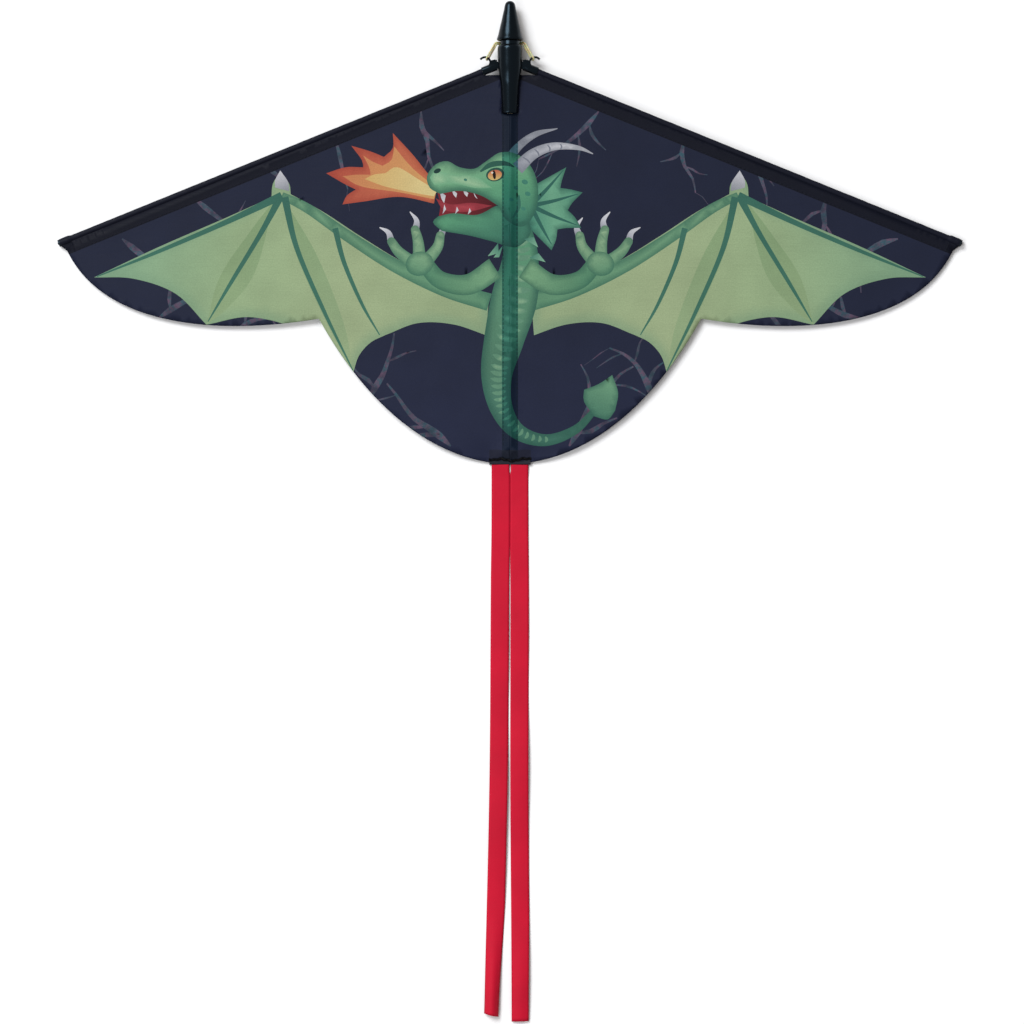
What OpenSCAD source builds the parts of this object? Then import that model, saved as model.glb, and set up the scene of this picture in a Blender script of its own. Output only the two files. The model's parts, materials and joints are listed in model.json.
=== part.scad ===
/* [Overall] */
// Wing span from tip to tip
span = 610; // [600:1:620]
// Length from the nose tip to the lower edge of the sail
body_len = 312; // [311:0.5:314]
// Length from the nose tip to the end of the longer tail streamer
total_len = 689; // [640:1:760]
// Angle of the leading edges, back from square to the spine
sweep = 21.95; // [21.5:0.05:22.3]
// How far each wing folds back towards the spine
fold_angle = 62; // [50:1:62]

/* [Nose and barrel] */
// Length of the soft nose cone
nose_len = 27; // [26:0.5:28]
// Radius of the nose cone where it meets the neck
nose_r = 8; // [7.6:0.1:8.1]
// Distance of the barrel's front shoulder from the nose tip
barrel_front = 29.7; // [29.5:0.1:30.2]
// Distance of the barrel's rear end from the nose tip
barrel_rear = 76; // [75:0.5:76.5]
// Largest radius of the barrel
barrel_r = 8.4; // [8.3:0.05:8.5]
// Radius of the barrel's rear end
barrel_rear_r = 5.65; // [5.5:0.05:5.8]
// Radius of the neck that holds the elastic bands
neck_r = 5.5; // [5.2:0.1:5.6]

/* [Wing arms] */
// Distance of each wing pivot from the middle of the barrel
pivot_x = 5; // [4.9:0.05:5.1]
// Distance of the wing pivots from the nose tip
pivot_d = 42.2; // [41.8:0.1:42.6]
// Radius of the pivot pins
pin_r = 1.2; // [1.1:0.05:1.3]
// Radius of the moulded socket that grips a spar
socket_r = 2.85; // [2.6:0.05:2.9]
// Distance of the socket's open end from the pivot
socket_end = 14.6; // [14:0.1:15]

/* [Rods] */
// Radius of the leading edge spars
spar_r = 1.6; // [1.4:0.05:1.65]
// Radius of the spine rod
spine_r = 2.5; // [2.2:0.1:2.5]

/* [Cloth and elastic] */
// Thickness of the cloth as a solid
cloth_t = 0.5; // [0.4:0.05:0.6]
// Half the width of the spine pocket
pocket_half = 5.4; // [5:0.1:5.8]
// Width of a tail streamer
streamer_w = 12.5; // [11:0.1:12.8]
// Radius of one strand of elastic
band_r = 0.57; // [0.4:0.01:0.57]

/* [Hidden] */
$fn = 64;
// Places along the kite are given as distances d from the nose tip; y runs from the tail to the nose.
nose_y = total_len / 2;
axis_z = 8.2;             // height of the barrel's middle line above the ground
far = 400;                // longer than anything that is cut
clear = 0.3;              // gap between curved faces that move past each other
fit_gap = 0.05;           // gap round a rod in its own socket
pivot_gap = 0.06;         // running clearance of an arm on its pin
eye_r = 3.3;              // outer radius of an arm's eye
eye_half = 2.4;           // half the height of an arm's eye
socket_half = 2.7;        // half the height of the flattened socket
slot_up = 3;              // top of the slots that the sockets fold into
slot_down = 3.35;         // bottom of those slots
groove_up = 2.4;          // top of the grooves behind them, for the sleeved spars
groove_down = 3;          // bottom of those grooves
hem_r = 0.5;              // rolled hem that each streamer hinges on
pin_up = 4.2;             // top of a pivot pin above the barrel's middle line
pin_down = 6.1;           // lower end of a pivot pin below the middle line
spigot_r = 4;             // stem inside the nose cone
spigot_d = 13;            // front end of that stem
neck_d = 27.72;           // middle of the front elastic in the neck
neck_step = 1.24;         // from the front elastic to the rear one
socket_wall_d = 57.3;     // front end of the spine's socket in the barrel
// Leading edge spar: its tip cap rests on the ground.
cap_r = 2.4;
cap_len = 3.5;
spar_len = (span / 2 - pivot_x - cap_len * cos(sweep)) / cos(sweep);
droop = asin((axis_z - cap_r - 0.1) / (spar_len + cap_len));
sleeve_r = 2.1;           // outside of the stitched sleeve round a spar
sleeve_start = socket_end + 0.4;
// Spine: it slopes down to the ground at its rear end.
spine_pocket_r = 3.1;
spine_cap_r = 2.95;
spine_end_d = body_len - 11;
spine_len = spine_end_d - socket_wall_d;
spine_drop = asin((axis_z - spine_pocket_r - 0.1) / (spine_len + 2));
pocket_from = barrel_rear + 1 - socket_wall_d;
pocket_to = spine_len + 2.5;
// Sail: each half lies in a plane from the spine's ridge down to the wing tip.
sail_from_d = barrel_rear + 1;
sail_z = axis_z - (sail_from_d - socket_wall_d) * sin(spine_drop) + spine_pocket_r + 0.15;
sail_roll = 1.12;
tip_x = span / 2 - 0.5;
tip_d = pivot_d + (tip_x - pivot_x) * tan(sweep) - sleeve_r / cos(sweep);
notch_x = 129;
notch_d = 214;
edge_inset = sleeve_r + 0.5;
seam_d = body_len - 4.5;  // line of stitches that holds the tail
tail_d = body_len + 0.2;  // where the streamers leave the seam
left_shorter = 3.4;       // how much shorter the left streamer is
// Elastic: it passes under the neck, then runs as two strands to the hook on each arm.
ring_R = neck_r + band_r + 0.1;
ring_open = 40;           // gap in the ring over the top of the neck, either side
skirt_x = 9.3;            // where the strands turn back behind the nose cone's skirt
strand_gap = 0.75;        // from the middle of a band to the middle of each strand
hook = [10, 3.8];         // hook from its pivot: out from the barrel, and forward
loop_R = 1.65;
loop_r = 0.5;

function y_of(d) = nose_y - d;
function bezier(a, b, c, e, t) =
  pow(1 - t, 3) * a + 3 * pow(1 - t, 2) * t * b + 3 * (1 - t) * t * t * c + pow(t, 3) * e;
function edge_d(x) = pivot_d + (x - pivot_x) * tan(sweep) + edge_inset / cos(sweep);
// Sail outline from its tip in along the wing's curved trailing edge, then round the middle lobe.
wing_curve = [for (i = [1:1:12])
  bezier([tip_x, tip_d], [276, 219], [200, 226], [notch_x, notch_d], i / 12)];
lobe_curve = [for (i = [1:1:12])
  bezier([notch_x, notch_d], [94, 278], [46, body_len], [0.1, body_len], i / 12)];
// The two edges of a ribbon of a given width that swerves sideways down its length
function ribbon(w, n, long, swerve) = concat(
  [for (i = [0:1:n]) [swerve * pow(i / n, 2), -long * i / n]],
  [for (i = [n:-1:0]) [swerve * pow(i / n, 2) + w, -long * i / n]]);
function path_side(p, w) = [for (i = [0:1:len(p) - 1])
  let (a = p[max(i - 1, 0)], b = p[min(i + 1, len(p) - 1)], t = (b - a) / norm(b - a))
  p[i] + w * [-t[1], t[0]]];
function reversed(p) = [for (i = [len(p) - 1:-1:0]) p[i]];

module sided(side) {
  if (side < 0) mirror([1, 0, 0]) children();
  else children();
}
// A solid turned round the barrel's middle line, from points [radius, distance from the nose tip]
module turned(profile) {
  translate([0, nose_y, axis_z]) rotate([90, 0, 0]) rotate_extrude() polygon(profile);
}
module pivot_frame(side) {
  sided(side) translate([pivot_x, y_of(pivot_d), axis_z]) rotate([0, 0, -sweep]) children();
}
module wing_frame(side) {
  sided(side) translate([pivot_x, y_of(pivot_d), axis_z]) rotate([0, droop, -sweep]) children();
}
module spine_frame() {
  translate([0, y_of(socket_wall_d), axis_z]) rotate([spine_drop, 0, 0]) children();
}
module rod_x(r, from, to) {
  translate([from, 0, 0]) rotate([0, 90, 0]) cylinder(h = to - from, r = r);
}
module rod_back(r, from, to) {
  translate([0, -from, 0]) rotate([90, 0, 0]) cylinder(h = to - from, r = r);
}
module strand(a, b, r) {
  v = b - a;
  translate(a) rotate([0, acos(v[2] / norm(v)), atan2(v[1], v[0])]) cylinder(h = norm(v), r = r);
}
module strip_along(w, path) {
  polygon(concat(path_side(path, w / 2), reversed(path_side(path, -w / 2))));
}

module nose_cone() {
  tip_r = 3.5;
  tip = [for (a = [0:9:72]) [tip_r * sin(a), tip_r * (1 - cos(a))]];
  color("#141416") difference() {
    turned(concat(tip, [[4.1, 6], [4.9, 9.4], [5.6, 12.7], [6.4, 16], [7.2, 19.4],
                        [nose_r - 0.1, nose_len - 4.4], [nose_r + 0.5, nose_len - 2.6],
                        [nose_r + 0.9, nose_len - 1.7], [nose_r + 0.8, nose_len - 0.9],
                        [nose_r - 0.3, nose_len], [0, nose_len]]));
    turned([[0, spigot_d - 0.3], [spigot_r + fit_gap, spigot_d - 0.3],
            [spigot_r + fit_gap, nose_len + 1], [0, nose_len + 1]]);
  }
}

// The ground a wing covers between its open and folded places, w wide on each side
function swept(w, long) = let (fold = sweep + fold_angle)
  [w * [sin(sweep), cos(sweep)],
   12 * [cos(sweep), -sin(sweep)] + w * [sin(sweep), cos(sweep)],
   [12, -long],
   long * [cos(fold), -sin(fold)] - w * [sin(fold), cos(fold)],
   -w * [sin(fold), cos(fold)]];
module side_slot(side) {
  sided(side) translate([pivot_x, y_of(pivot_d), axis_z]) {
    translate([0, 0, -slot_down]) linear_extrude(slot_up + slot_down) {
      circle(eye_r + clear);
      polygon(swept(socket_r + clear, socket_end + 1.5));
    }
    translate([0, 0, -groove_down]) linear_extrude(groove_up + groove_down)
      polygon(swept(sleeve_r + clear, barrel_rear - pivot_d + 4));
  }
}
module barrel_body() {
  difference() {
    turned([[0, spigot_d], [spigot_r, spigot_d], [spigot_r, nose_len + 0.1], [neck_r, nose_len + 0.1],
            [neck_r, barrel_front], [7.1, barrel_front], [7.9, barrel_front + 0.8],
            [barrel_r, barrel_front + 2.4], [barrel_r, barrel_front + 14], [8.2, barrel_front + 18],
            [7.7, barrel_front + 22], [7.0, barrel_front + 26.5], [6.55, barrel_front + 32],
            [6.1, barrel_front + 39], [barrel_rear_r, barrel_rear - 0.5],
            [barrel_rear_r - 0.5, barrel_rear], [0, barrel_rear]]);
    for (side = [-1, 1]) {
      side_slot(side);
      pivot_frame(side) translate([0, 0, -pin_down - 1])
        cylinder(h = pin_up + pin_down + 1 + fit_gap, r = pin_r + fit_gap);
    }
    spine_frame() rod_back(spine_r + fit_gap, -0.2, 30);
    translate([-far / 2, 0, -far]) cube(far);
  }
}
module barrel_top() {
  color("#101012") intersection() {
    barrel_body();
    translate([-far / 2, 0, axis_z + 0.01]) cube(far);
  }
}
module barrel_bottom() {
  color("#161618") intersection() {
    barrel_body();
    translate([-far / 2, 0, axis_z - far]) cube(far);
  }
}
module pivot_pin(side) {
  color("#b8bcc2") pivot_frame(side) translate([0, 0, -pin_down])
    cylinder(h = pin_up + pin_down, r = pin_r);
}

// Arm: an eye on the pivot pin, a flattened socket for the spar, and a hooked finger for the elastic.
module arm(side) {
  finger = [[8, -0.8], [8.2, 1.2], [8.9, 2.8], [10, 3.8], [11.4, 4.25], [12.8, 4.15], [14, 3.6], [15, 2.7]];
  web = [[3.7, -1.4], [3.7, 2.1], [5.2, 2.5], [7.6, 2], [8.8, 1], [9.5, -2]];
  color("#0e0e10") {
    difference() {
      union() {
        pivot_frame(side) translate([0, 0, -eye_half]) cylinder(h = 2 * eye_half, r = eye_r);
        pivot_frame(side) translate([0, -2.2, -eye_half]) cube([6.5, 4.4, 2 * eye_half - 0.2]);
        intersection() {
          wing_frame(side) rod_x(socket_r, 4.8, socket_end);
          wing_frame(side) translate([0, -5, -socket_half]) cube([20, 10, 2 * socket_half]);
        }
        sided(side) translate([pivot_x, y_of(pivot_d), axis_z]) {
          translate([0, 0, -0.65]) linear_extrude(1.3) strip_along(1.35, finger);
          translate([0, 0, -1.9]) linear_extrude(3.8) polygon(web);
        }
      }
      pivot_frame(side) translate([0, 0, -eye_half - 1])
        cylinder(h = 2 * eye_half + 2, r = pin_r + pivot_gap);
      wing_frame(side) rod_x(spar_r + fit_gap, 5, socket_end + 1);
    }
  }
}
module spar(side) {
  color("#d9d6c6") wing_frame(side) rod_x(spar_r, 5.1, spar_len);
}
module spar_cap(side) {
  color("#17171a") wing_frame(side) difference() {
    rod_x(cap_r, spar_len - 5, spar_len + cap_len);
    rod_x(spar_r + fit_gap, spar_len - 6, spar_len + 0.1);
  }
}
module edge_sleeve(side) {
  color("#1b1b2f") wing_frame(side) difference() {
    rod_x(sleeve_r, sleeve_start, spar_len - 5.3);
    rod_x(spar_r + fit_gap, sleeve_start - 1, spar_len);
  }
}

module spine_rod() {
  color("#cfc9b4") spine_frame() rod_back(spine_r, 0, spine_len);
}
module spine_cap() {
  color("#17171a") spine_frame() difference() {
    rod_back(spine_cap_r, spine_len - 6, spine_len + 2);
    rod_back(spine_r + fit_gap, spine_len - 7, spine_len + 0.05);
  }
}
module spine_pocket() {
  color("#12161f") spine_frame() difference() {
    union() {
      rod_back(spine_pocket_r, pocket_from, pocket_to);
      translate([-pocket_half, -pocket_to, spine_pocket_r - 0.6])
        cube([2 * pocket_half, pocket_to - pocket_from, 0.6]);
    }
    rod_back(spine_r + fit_gap, pocket_from - 1, spine_len);
    rod_back(spine_cap_r + fit_gap, spine_len - 6.2, spine_len + 2.1);
  }
}

// Half of the sail, cut round the barrel so that the barrel sits between the two halves
module sail_half(side) {
  cut = [[0.1, sail_from_d + 0.6], [barrel_rear_r + 0.8, sail_from_d + 0.6],
         [barrel_r, 50], [13.5, 50], [15, edge_d(15)], [tip_x - 5, edge_d(tip_x - 5)]];
  outline = concat(cut, wing_curve, lobe_curve);
  color("#2c2c46") sided(side) translate([0, y_of(sail_from_d), sail_z])
    rotate([spine_drop, sail_roll, 0]) linear_extrude(cloth_t)
      polygon([for (p = outline) [p[0], sail_from_d - p[1]]]);
}

function neck_at(side) = neck_d + (side < 0 ? 0 : neck_step);
// The strands lie side by side, from behind the skirt to the loop on the hook.
function strand_from(side) = [skirt_x, y_of(neck_at(side))];
function strand_to(side) = [pivot_x, y_of(pivot_d)] + hook;
module band(side) {
  a = strand_from(side);
  b = strand_to(side);
  v = (b - a) / norm(b - a);
  end = b - (loop_R + loop_r + 0.05) * v;
  color("#e6dcae") sided(side) {
    translate([0, a[1], axis_z]) rotate([90, 0, 0]) rotate([0, 0, 90 + ring_open])
      rotate_extrude(angle = 360 - 2 * ring_open) translate([ring_R, 0]) circle(band_r, $fn = 24);
    strand([ring_R - 0.1, a[1], axis_z], [a[0] + 0.7, a[1], axis_z], band_r);
    for (out = [-strand_gap, strand_gap]) {
      n = out * [v[1], -v[0]];
      strand([a[0] + n[0], a[1] + n[1], axis_z], [end[0] + n[0], end[1] + n[1], axis_z], band_r + 0.1);
    }
  }
}
module band_loop(side) {
  v = strand_to(side) - strand_from(side);
  color("#e2d7a4") sided(side)
    translate([strand_to(side)[0], strand_to(side)[1], axis_z]) rotate([0, 0, atan2(v[1], v[0])])
      rotate([90, 0, 0]) rotate_extrude() translate([loop_R, 0]) circle(loop_r, $fn = 24);
}

module tail_patch() {
  color("#35353f") translate([-14, y_of(body_len - 0.6), 0.7]) cube([28, 7.4, 4.9]);
}
module tail_stitching() {
  color("#08080a") translate([-13, y_of(seam_d), sail_z + cloth_t + 0.1 - (seam_d - sail_from_d) * sin(spine_drop)])
    translate([0, -0.4, 0]) cube([26, 0.8, 0.4]);
}
module streamer(side) {
  long = total_len - tail_d - (side > 0 ? 0 : left_shorter);
  color("#cf1f3a") translate([side > 0 ? 0.1 : -0.1 - streamer_w, y_of(tail_d), 0]) {
    linear_extrude(cloth_t) polygon(ribbon(streamer_w, 8, long, side > 0 ? 0.6 : -4.6));
    translate([0, 0, hem_r]) rod_x(hem_r, 0, streamer_w);
  }
}

nose_cone();
barrel_top();
barrel_bottom();
pivot_pin(-1);  // left_pivot_pin
pivot_pin(1);  // right_pivot_pin
arm(-1);  // left_arm
arm(1);  // right_arm
spar(-1);  // left_spar
spar(1);  // right_spar
spar_cap(-1);  // left_spar_cap
spar_cap(1);  // right_spar_cap
edge_sleeve(-1);  // left_edge_sleeve
edge_sleeve(1);  // right_edge_sleeve
spine_rod();
spine_cap();
spine_pocket();
sail_half(-1);  // sail_left
sail_half(1);  // sail_right
band(-1);  // left_band
band(1);  // right_band
band_loop(-1);  // left_band_loop
band_loop(1);  // right_band_loop
tail_patch();
tail_stitching();
streamer(-1);  // left_streamer
streamer(1);  // right_streamer
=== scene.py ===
import json
import random
from math import asin, atan2, cos, degrees, pi, radians, sin, sqrt

import bpy
import numpy as np
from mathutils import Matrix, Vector
from mathutils.geometry import delaunay_2d_cdt


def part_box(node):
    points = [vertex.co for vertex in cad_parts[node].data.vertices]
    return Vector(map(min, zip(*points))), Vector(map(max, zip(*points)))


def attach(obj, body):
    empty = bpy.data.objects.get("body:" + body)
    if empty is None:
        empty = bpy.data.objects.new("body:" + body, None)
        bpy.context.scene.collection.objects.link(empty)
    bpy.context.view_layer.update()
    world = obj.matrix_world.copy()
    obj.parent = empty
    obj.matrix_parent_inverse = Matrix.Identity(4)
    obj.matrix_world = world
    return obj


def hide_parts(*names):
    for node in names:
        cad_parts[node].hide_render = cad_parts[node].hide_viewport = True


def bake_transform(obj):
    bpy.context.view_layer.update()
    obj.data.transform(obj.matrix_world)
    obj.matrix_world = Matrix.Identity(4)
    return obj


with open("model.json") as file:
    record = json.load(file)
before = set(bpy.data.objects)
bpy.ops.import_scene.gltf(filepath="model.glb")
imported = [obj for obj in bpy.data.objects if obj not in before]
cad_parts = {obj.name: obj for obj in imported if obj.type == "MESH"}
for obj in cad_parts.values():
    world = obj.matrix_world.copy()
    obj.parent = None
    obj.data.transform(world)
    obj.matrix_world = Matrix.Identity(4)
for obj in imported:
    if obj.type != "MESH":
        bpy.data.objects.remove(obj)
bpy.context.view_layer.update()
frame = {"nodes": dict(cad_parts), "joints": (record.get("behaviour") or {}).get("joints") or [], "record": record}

# -------- the frame, in cloth coordinates
# Cloth coordinates are millimetres: u to the right of the spine, d back from the nose tip.
MM = 0.001
HAND = {1: "right", -1: "left"}
JOINTS = {j["name"]: j for j in frame["joints"]}
NOSE_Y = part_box("nose_cone")[1].y


def middle(node):
    lo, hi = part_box(node)
    return (lo + hi) / 2


# the right wing's pivot and spar, and the spine rod's slope
PIVOT = Vector(JOINTS["right_wing_fold"]["pos_m"])
PIVOT_U, PIVOT_D, PIVOT_Z = PIVOT.x / MM, (NOSE_Y - PIVOT.y) / MM, PIVOT.z / MM
SPAR = (middle("right_spar_cap") - PIVOT).normalized()
SWEEP = atan2(-SPAR.y, SPAR.x)
DROOP = asin(-SPAR.z)
CAP_MID = (middle("right_spar_cap") - PIVOT).length / MM
SPAR_END = CAP_MID + 4.25
EDGE_ANGLE = pi / 2 - SWEEP
TAIL_HINGE_D = (NOSE_Y - JOINTS["left_tail_lift"]["pos_m"][1]) / MM
ROD_MID, ROD_CAP = middle("spine_rod"), middle("spine_cap")
ROD_SLOPE = (ROD_MID.z - ROD_CAP.z) / (ROD_MID.y - ROD_CAP.y)
BARREL_REAR_D = (NOSE_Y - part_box("barrel_top")[0].y) / MM
POCKET_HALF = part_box("spine_pocket")[1].x / MM
BODY_LEN = 312.0        # nose tip to the sail's lower edge
EDGE_BAND = 9.4         # width of the darker band along the leading edge
SHEET_FROM = 1.75       # the sail starts this far behind the spar's middle line
GRIP = 3.0              # cloth within this of the spar's line turns fully with the wing
CLOTH = 0.00016
OVER_ROD, OVER_SPAR = 1.2, 0.3      # the sail's height above the two rods' middle lines
SAG = 0.8                           # the hang between them, 300 mm from the pivot
HEM_D, HEM_Z = 303.5, 1.5           # the lower edge dips to this height from here on


def place(u, d, z):
    return np.stack([u * MM, NOSE_Y - d * MM, z * MM], axis=-1)


def spine_z(d):
    return (ROD_MID.z + (NOSE_Y - d * MM - ROD_MID.y) * ROD_SLOPE) / MM


def smoothstep(t):
    t = np.clip(t, 0, 1)
    return t * t * (3 - 2 * t)


def share(u, d):
    """How far a point of the sail turns with its wing: 0 at the spine, 1 at the leading edge."""
    x, y = np.abs(u) - PIVOT_U, d - PIVOT_D
    r = np.hypot(x, y)
    edge = EDGE_ANGLE - np.arcsin(np.clip(GRIP / np.maximum(r, 1e-6), 0, 0.9))
    return np.where(x > 0, np.clip(np.arctan2(x, y) / edge, 0, 1), 0.0)


def sail_height(u, d):
    """The height of the cloth, from the spine to the spar, with sag, waves and a dipped hem."""
    side = np.sign(u)
    w = share(u, d)
    x, y = np.abs(u) - PIVOT_U, d - PIVOT_D
    r = np.hypot(x, y)
    free = np.sin(pi * w)
    spine = spine_z(np.maximum(d, BARREL_REAR_D + 1)) + OVER_ROD
    edge = PIVOT_Z - r * sin(DROOP) + OVER_SPAR
    z = spine * (1 - w) + edge * w - SAG * free * r / 300
    # waves that fan out from the pivot, and unevenness of the cloth
    angle = np.degrees(np.arctan2(np.maximum(x, 0), y))
    z += free * 0.0004 * r * np.sin(2 * pi * angle / 7.6 + 0.7 * side)
    z += free * 0.28 * np.sin(u / 23 + 0.6 * side) * np.sin(d / 31 + u / 57 + 1.3 * side)
    # the rise onto the spar's sleeve, then the ridge over the spine rod and its end cap
    behind = y * cos(SWEEP) - x * sin(SWEEP)
    z += 0.8 * np.exp(-np.maximum(behind - SHEET_FROM, 0) / 3.0) * smoothstep((x - 4) / 8)
    over_cap = smoothstep((d - 290) / 5)
    ridge = (1.65 + 0.5 * over_cap) * np.exp(-(u / (2.6 + 0.5 * over_cap)) ** 2)
    z += ridge * (1 - smoothstep((d - HEM_D) / 4))
    beside = smoothstep((np.abs(u) - 6) / 10)
    tuck = smoothstep((d - HEM_D + 10 * beside) / (8 + 7 * beside)) * np.exp(-(u / 27) ** 2)
    return z + (HEM_Z - z) * tuck


def sail_z(u, d):
    return float(sail_height(np.array([u]), np.array([d]))[0])


# -------- colours and curves
def rgb(code):
    c = np.array([int(code[i:i + 2], 16) for i in (0, 2, 4)]) / 255
    return np.where(c <= 0.04045, c / 12.92, ((c + 0.055) / 1.055) ** 2.4)


def turned(angle):
    return cos(radians(angle)), sin(radians(angle))


def smooth(points, step=2.2):
    """A curve through the points, sampled every few millimetres."""
    p = np.array(points, float)
    if len(p) < 3:
        n = max(1, int(np.linalg.norm(p[1] - p[0]) / (step * 2)))
        return np.array([p[0] + (p[1] - p[0]) * i / n for i in range(n + 1)])
    ends = np.vstack([2 * p[0] - p[1], p, 2 * p[-1] - p[-2]])
    out = []
    for a, b, c, e in zip(ends, ends[1:], ends[2:], ends[3:]):
        n = max(2, int(np.linalg.norm((c - b)[:2]) / step))
        for t in (k / n for k in range(n)):
            out.append(0.5 * (2 * b + (c - a) * t + (2 * a - 5 * b + 4 * c - e) * t * t
                              + (3 * b - a - 3 * c + e) * t ** 3))
    return np.array(out + [p[-1]])


def bezier(a, b, c, e, n):
    t = np.linspace(0, 1, n + 1)[:, None]
    a, b, c, e = (np.array(p, float) for p in (a, b, c, e))
    return (1 - t) ** 3 * a + 3 * (1 - t) ** 2 * t * b + 3 * (1 - t) * t * t * c + t ** 3 * e


def loop(*runs, step=2.2):
    """A closed outline of smooth runs; each goes on from a sharp corner at the last one's end."""
    out, corner = [], []
    for run in runs:
        out.extend(smooth(corner + run, step)[:-1])
        corner = run[-1:]
    return np.array(out)


def along(line):
    """Unit vectors along a line and across it, at each of its points."""
    t = np.gradient(line[:, :2], axis=0)
    t /= np.maximum(np.linalg.norm(t, axis=1), 1e-6)[:, None]
    return t, np.stack([-t[:, 1], t[:, 0]], axis=1)


def stroke(points, step=2.2, blunt=False):
    """The outline of a brush stroke through points (u, d, width)."""
    line = smooth(points, step)
    t, n = along(line)
    half = np.maximum(line[:, 2:3], 0.2) / 2
    left, right = line[:, :2] + n * half, line[:, :2] - n * half
    cap = []
    if blunt:
        for c, s in map(turned, (30, 60, 90, 120, 150)):
            cap.append(line[-1, :2] + half[-1] * (n[-1] * c + t[-1] * s))
    return np.array(list(left) + cap + list(right[::-1]))


def oval(u, d, a, b, turn=0, n=20):
    t = np.linspace(0, 2 * pi, n, endpoint=False)
    c, s = turned(turn)
    x, y = a * np.cos(t), b * np.sin(t)
    return np.stack([u + x * c - y * s, d + x * s + y * c], axis=1)


def inside(poly, pts):
    """Which of the points lie inside the polygon."""
    found = np.zeros(len(pts), bool)
    near = np.where(np.all((pts >= poly.min(0)) & (pts <= poly.max(0)), axis=1))[0]
    x, y = pts[near, 0], pts[near, 1]
    hit = np.zeros(len(near), bool)
    for (x1, y1), (x2, y2) in zip(poly, np.roll(poly, -1, axis=0)):
        if y1 != y2:
            hit ^= ((y1 > y) != (y2 > y)) & (x < (x2 - x1) * (y - y1) / (y2 - y1) + x1)
    found[near] = hit
    return found


def distance(poly, pts):
    """The distance of each point from the polygon's outline."""
    best = np.full(len(pts), 1e9)
    for p, q in zip(poly, np.roll(poly, -1, axis=0)):
        v = q - p
        t = np.clip(((pts - p) @ v) / max(v @ v, 1e-9), 0, 1)
        best = np.minimum(best, np.linalg.norm(pts - p - t[:, None] * v, axis=1))
    return best


def flat(code):
    c = rgb(code)
    return lambda p: np.tile(c, (len(p), 1))


def ramp(a, b, *codes):
    """A gradient from point a to point b through the colours."""
    stops = np.array([rgb(c) for c in codes])
    a, b = np.array(a, float), np.array(b, float)

    def colour(p):
        t = np.clip(((p - a) @ (b - a)) / ((b - a) @ (b - a)), 0, 1) * (len(stops) - 1)
        i = np.minimum(t.astype(int), len(stops) - 2)
        f = (t - i)[:, None]
        return stops[i] * (1 - f) + stops[i + 1] * f
    return colour


def airbrush(poly, base, edge_code, width, strength):
    """A colour that turns to another one towards the outline of its shape."""
    edge = rgb(edge_code)

    def colour(p):
        f = (strength * (1 - smoothstep(distance(poly, p) / width)))[:, None]
        return base(p) * (1 - f) + edge * f
    return colour


# -------- the printed dragon
LAYERS = []     # each shape's outline, its colour, and how streaky it is


def ink(poly, colour, streak=0.0):
    LAYERS.append((poly, colour, streak))


def shade(poly, base, *edge):
    ink(poly, airbrush(poly, base, *edge))


def both(poly, a, b, codes, *edge):
    """The same shape on both sides of the spine, in a gradient with or without a darker edge."""
    for side in (1, -1):
        shape = poly if side > 0 else poly[::-1] * np.array([-1.0, 1.0])
        fill = ramp((a[0] * side, a[1]), (b[0] * side, b[1]), *codes)
        ink(shape, airbrush(shape, fill, *edge) if edge else fill)


def branch(rng, u, d, heading, length, width, depth):
    """A faint wandering twig that forks."""
    pts = [(u, d, width * 0.2)]
    steps = max(3, int(length / 9))
    for k in range(steps):
        heading += rng.uniform(-0.42, 0.42)
        u += cos(heading) * length / steps
        d += sin(heading) * length / steps
        pts.append((u, d, width * (1 - 0.8 * (k + 1) / steps)))
        if depth and rng.random() < 0.55:
            turn = heading + rng.choice((-1, 1)) * rng.uniform(0.6, 1.1)
            branch(rng, u, d, turn, length * 0.42, pts[-1][2] * 0.9, depth - 1)
    tone = rng.choice(("343850", "40384f", "2f4456"))
    ink(stroke(pts, 4.0), flat(tone), rng.uniform(0.7, 1.0))


def draw_background():
    rng = random.Random(11)
    starts = [(262, 160, 2.5, 66, 4.8), (214, 132, 2.2, 60, 4.4), (168, 104, 2.0, 44, 3.8),
              (60, 74, 1.9, 52, 4.2), (238, 214, -2.6, 52, 4.8), (40, 300, -0.9, 66, 5.6),
              (96, 270, -2.0, 52, 5.2), (186, 224, -2.2, 34, 4.0), (118, 92, 1.7, 40, 3.8)]
    for side in (-1, 1):
        for u, d, heading, length, width in starts:
            if side < 0:
                heading = pi - heading
            branch(rng, side * u, d, heading, length * rng.uniform(0.8, 1.15), width, 1)


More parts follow.
